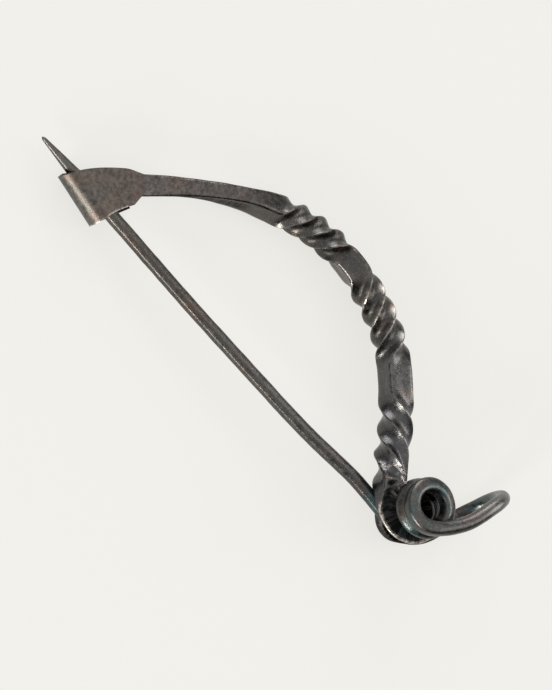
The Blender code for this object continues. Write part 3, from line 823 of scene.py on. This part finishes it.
# Worn metal and painted highlights, broken up by the mottling, and fine bright specks
worn_and_sheen = add_math("MULTIPLY", wear_and_sheen_value, add_range(mottle, 0.35, 0.60, 0.25, 1.0), True)
specks = add_math("MULTIPLY", add_range(grain, 0.60, 0.72), add_range(distance, -30.0, 10.0, 0.08, 0.26))
colour = add_mix(add_math("ADD", worn_and_sheen, specks, True), colour, WORN_AND_SHEEN_METAL)

# Painted shade, in streaks that run across the bar
stretch_bar = add_node("ShaderNodeVectorMath", operation="MULTIPLY")
links.new(bar, stretch_bar.inputs[0])
stretch_bar.inputs[1].default_value = STREAK_STRETCH
streaks = add_noise(stretch_bar.outputs["Vector"], 1.0, 3.0, 0.6)
black = add_math("MULTIPLY", painted_shade_value, add_range(streaks, 0.46, 0.62, 0.84, 0.15), True)
# Painted shade: the mask turns the colour towards black
colour = add_mix(black, colour, PAINTED_SHADE_BLACK)
links.new(colour, shader.inputs["Base Color"])

# The catch, the places of painted shade and the wire are duller than the bow
shaded_dullness = add_math("MULTIPLY", painted_shade_value, PAINTED_SHADE_DULLNESS)
rough = add_math("ADD", add_range(mottle, 0.3, 0.7, 0.19, 0.34), shaded_dullness)
rough = add_math("ADD", rough, add_range(distance, 14.0, -6.0, 0.0, 0.17))
rough = add_math("ADD", rough, add_range(distance, 84.0, 96.0, 0.0, 0.08))
links.new(rough, shader.inputs["Roughness"])
bump = add_node("ShaderNodeBump", strength=0.6, distance=RELIEF_DEPTH)
links.new(add_math("ADD", mottle, add_math("MULTIPLY", grain, GRAIN_RELIEF)), bump.inputs["Height"])
links.new(bump.outputs["Normal"], shader.inputs["Normal"])
brooch.data.materials.clear()
brooch.data.materials.append(iron)

# The floor
# A plain sheet of pale, matt paper, lit so evenly that it shows only a faint shadow under the brooch. It
# isn't part of the object.
FLOOR_SIZE = 4.0
PAPER = (0.14, 0.139, 0.134, 1.0)
FLOOR_GLOW = (0.871, 0.863, 0.823, 1.0)
GLOW_STRENGTH = 0.815
bpy.ops.mesh.primitive_plane_add(size=FLOOR_SIZE)
floor = bpy.context.active_object
floor.name = "floor"
paper = bpy.data.materials.new("pale_floor")
paper.use_nodes = True
paper_shader = paper.node_tree.nodes["Principled BSDF"]
paper_shader.inputs["Base Color"].default_value = PAPER
paper_shader.inputs["Roughness"].default_value = 1.0
paper_shader.inputs["Specular IOR Level"].default_value = 0.0
paper_shader.inputs["Emission Color"].default_value = FLOOR_GLOW
paper_shader.inputs["Emission Strength"].default_value = GLOW_STRENGTH
floor.data.materials.append(paper)

# The light
# A soft studio tent, bright overhead and dark at the bottom of the picture, so that the iron reflects both.
# Three square softboxes stand round it: the key on the right, one at the top, and a low, warm one at left.
SKY_STRENGTH = 1.15
SKY_HEIGHTS = (0.05, 0.98, 0.12, 0.90)
DARK_SIDE = (0.85, -0.5, 0.15)
DARK_RANGE = (0.35, 0.88, 1.0, 0.05)
SOFTBOX_DISTANCE = 0.8
SOFTBOXES = (
    ("key_light", (0.62, 0.60, 0.50), 0.44, 2.4, (1.0, 0.99, 0.97)),
    ("top_light", (-0.55, 0.76, 0.36), 0.44, 3.0, (1.0, 1.0, 1.0)),
    ("low_light", (0.0, -0.95, 0.32), 0.27, 5.2, (1.0, 0.95, 0.89)),
)
world = bpy.data.worlds.new("studio")
bpy.context.scene.world = world
world.use_nodes = True
# From here the functions that add nodes add them to the world
nodes = world.node_tree.nodes
links = world.node_tree.links
sky = nodes["Background"]
sky.inputs["Strength"].default_value = SKY_STRENGTH
direction = nodes.new("ShaderNodeTexCoord").outputs["Generated"]
sky_split = nodes.new("ShaderNodeSeparateXYZ")
links.new(direction, sky_split.inputs[0])
sky_light = add_range(sky_split.outputs["Z"], *SKY_HEIGHTS)
aim = add_node("ShaderNodeVectorMath", operation="DOT_PRODUCT")
links.new(direction, aim.inputs[0])
aim.inputs[1].default_value = DARK_SIDE
links.new(add_math("MULTIPLY", sky_light, add_range(aim.outputs["Value"], *DARK_RANGE)), sky.inputs["Color"])
for name, towards, size, power, colour in SOFTBOXES:
    data = bpy.data.lights.new(name, "AREA")
    data.shape = "SQUARE"
    data.size = size
    data.energy = power
    data.color = colour
    lamp = bpy.data.objects.new(name, data)
    bpy.context.scene.collection.objects.link(lamp)
    towards = Vector(towards).normalized()
    lamp.location = towards * SOFTBOX_DISTANCE
    lamp.rotation_euler = towards.to_track_quat("Z", "Y").to_euler()

# The camera
# It looks down on the brooch from far off with a long lens, as in the photograph. The middle of the spring is
# the point that fixes its aim.
VIEW_RIGHT = Vector((0.63065, 0.63902, 0.44031))
VIEW_UP = Vector((-0.71922, 0.69443, 0.02238))
VIEW_BACK = Vector((-0.29151, -0.33084, 0.89756))
PIXELS_PER_MM = 6.0
PICTURE_SIZE = (552, 690)
SPRING_IN_PICTURE = (416.61, 510.96)
CAMERA_DISTANCE = 3.2
NEARER = 0.008
SENSOR = 36.0
FAR_CLIP = 20.0
camera_data = bpy.data.cameras.new("camera")
camera = bpy.data.objects.new("camera", camera_data)
bpy.context.scene.collection.objects.link(camera)
bpy.context.scene.camera = camera
aside = (PICTURE_SIZE[0] / 2 - SPRING_IN_PICTURE[0]) / PIXELS_PER_MM * MM
above = (SPRING_IN_PICTURE[1] - PICTURE_SIZE[1] / 2) / PIXELS_PER_MM * MM
target = DRAWING_ORIGIN * MM + VIEW_RIGHT * aside + VIEW_UP * above + VIEW_BACK * NEARER
facing = Matrix((VIEW_RIGHT, VIEW_UP, VIEW_BACK)).transposed().to_4x4()
camera.matrix_world = Matrix.Translation(target + VIEW_BACK * CAMERA_DISTANCE) @ facing
camera_data.sensor_width = SENSOR
camera_data.lens = SENSOR * CAMERA_DISTANCE / (PICTURE_SIZE[1] / PIXELS_PER_MM * MM)
camera_data.clip_end = FAR_CLIP
bpy.context.scene.view_settings.view_transform = "Standard"
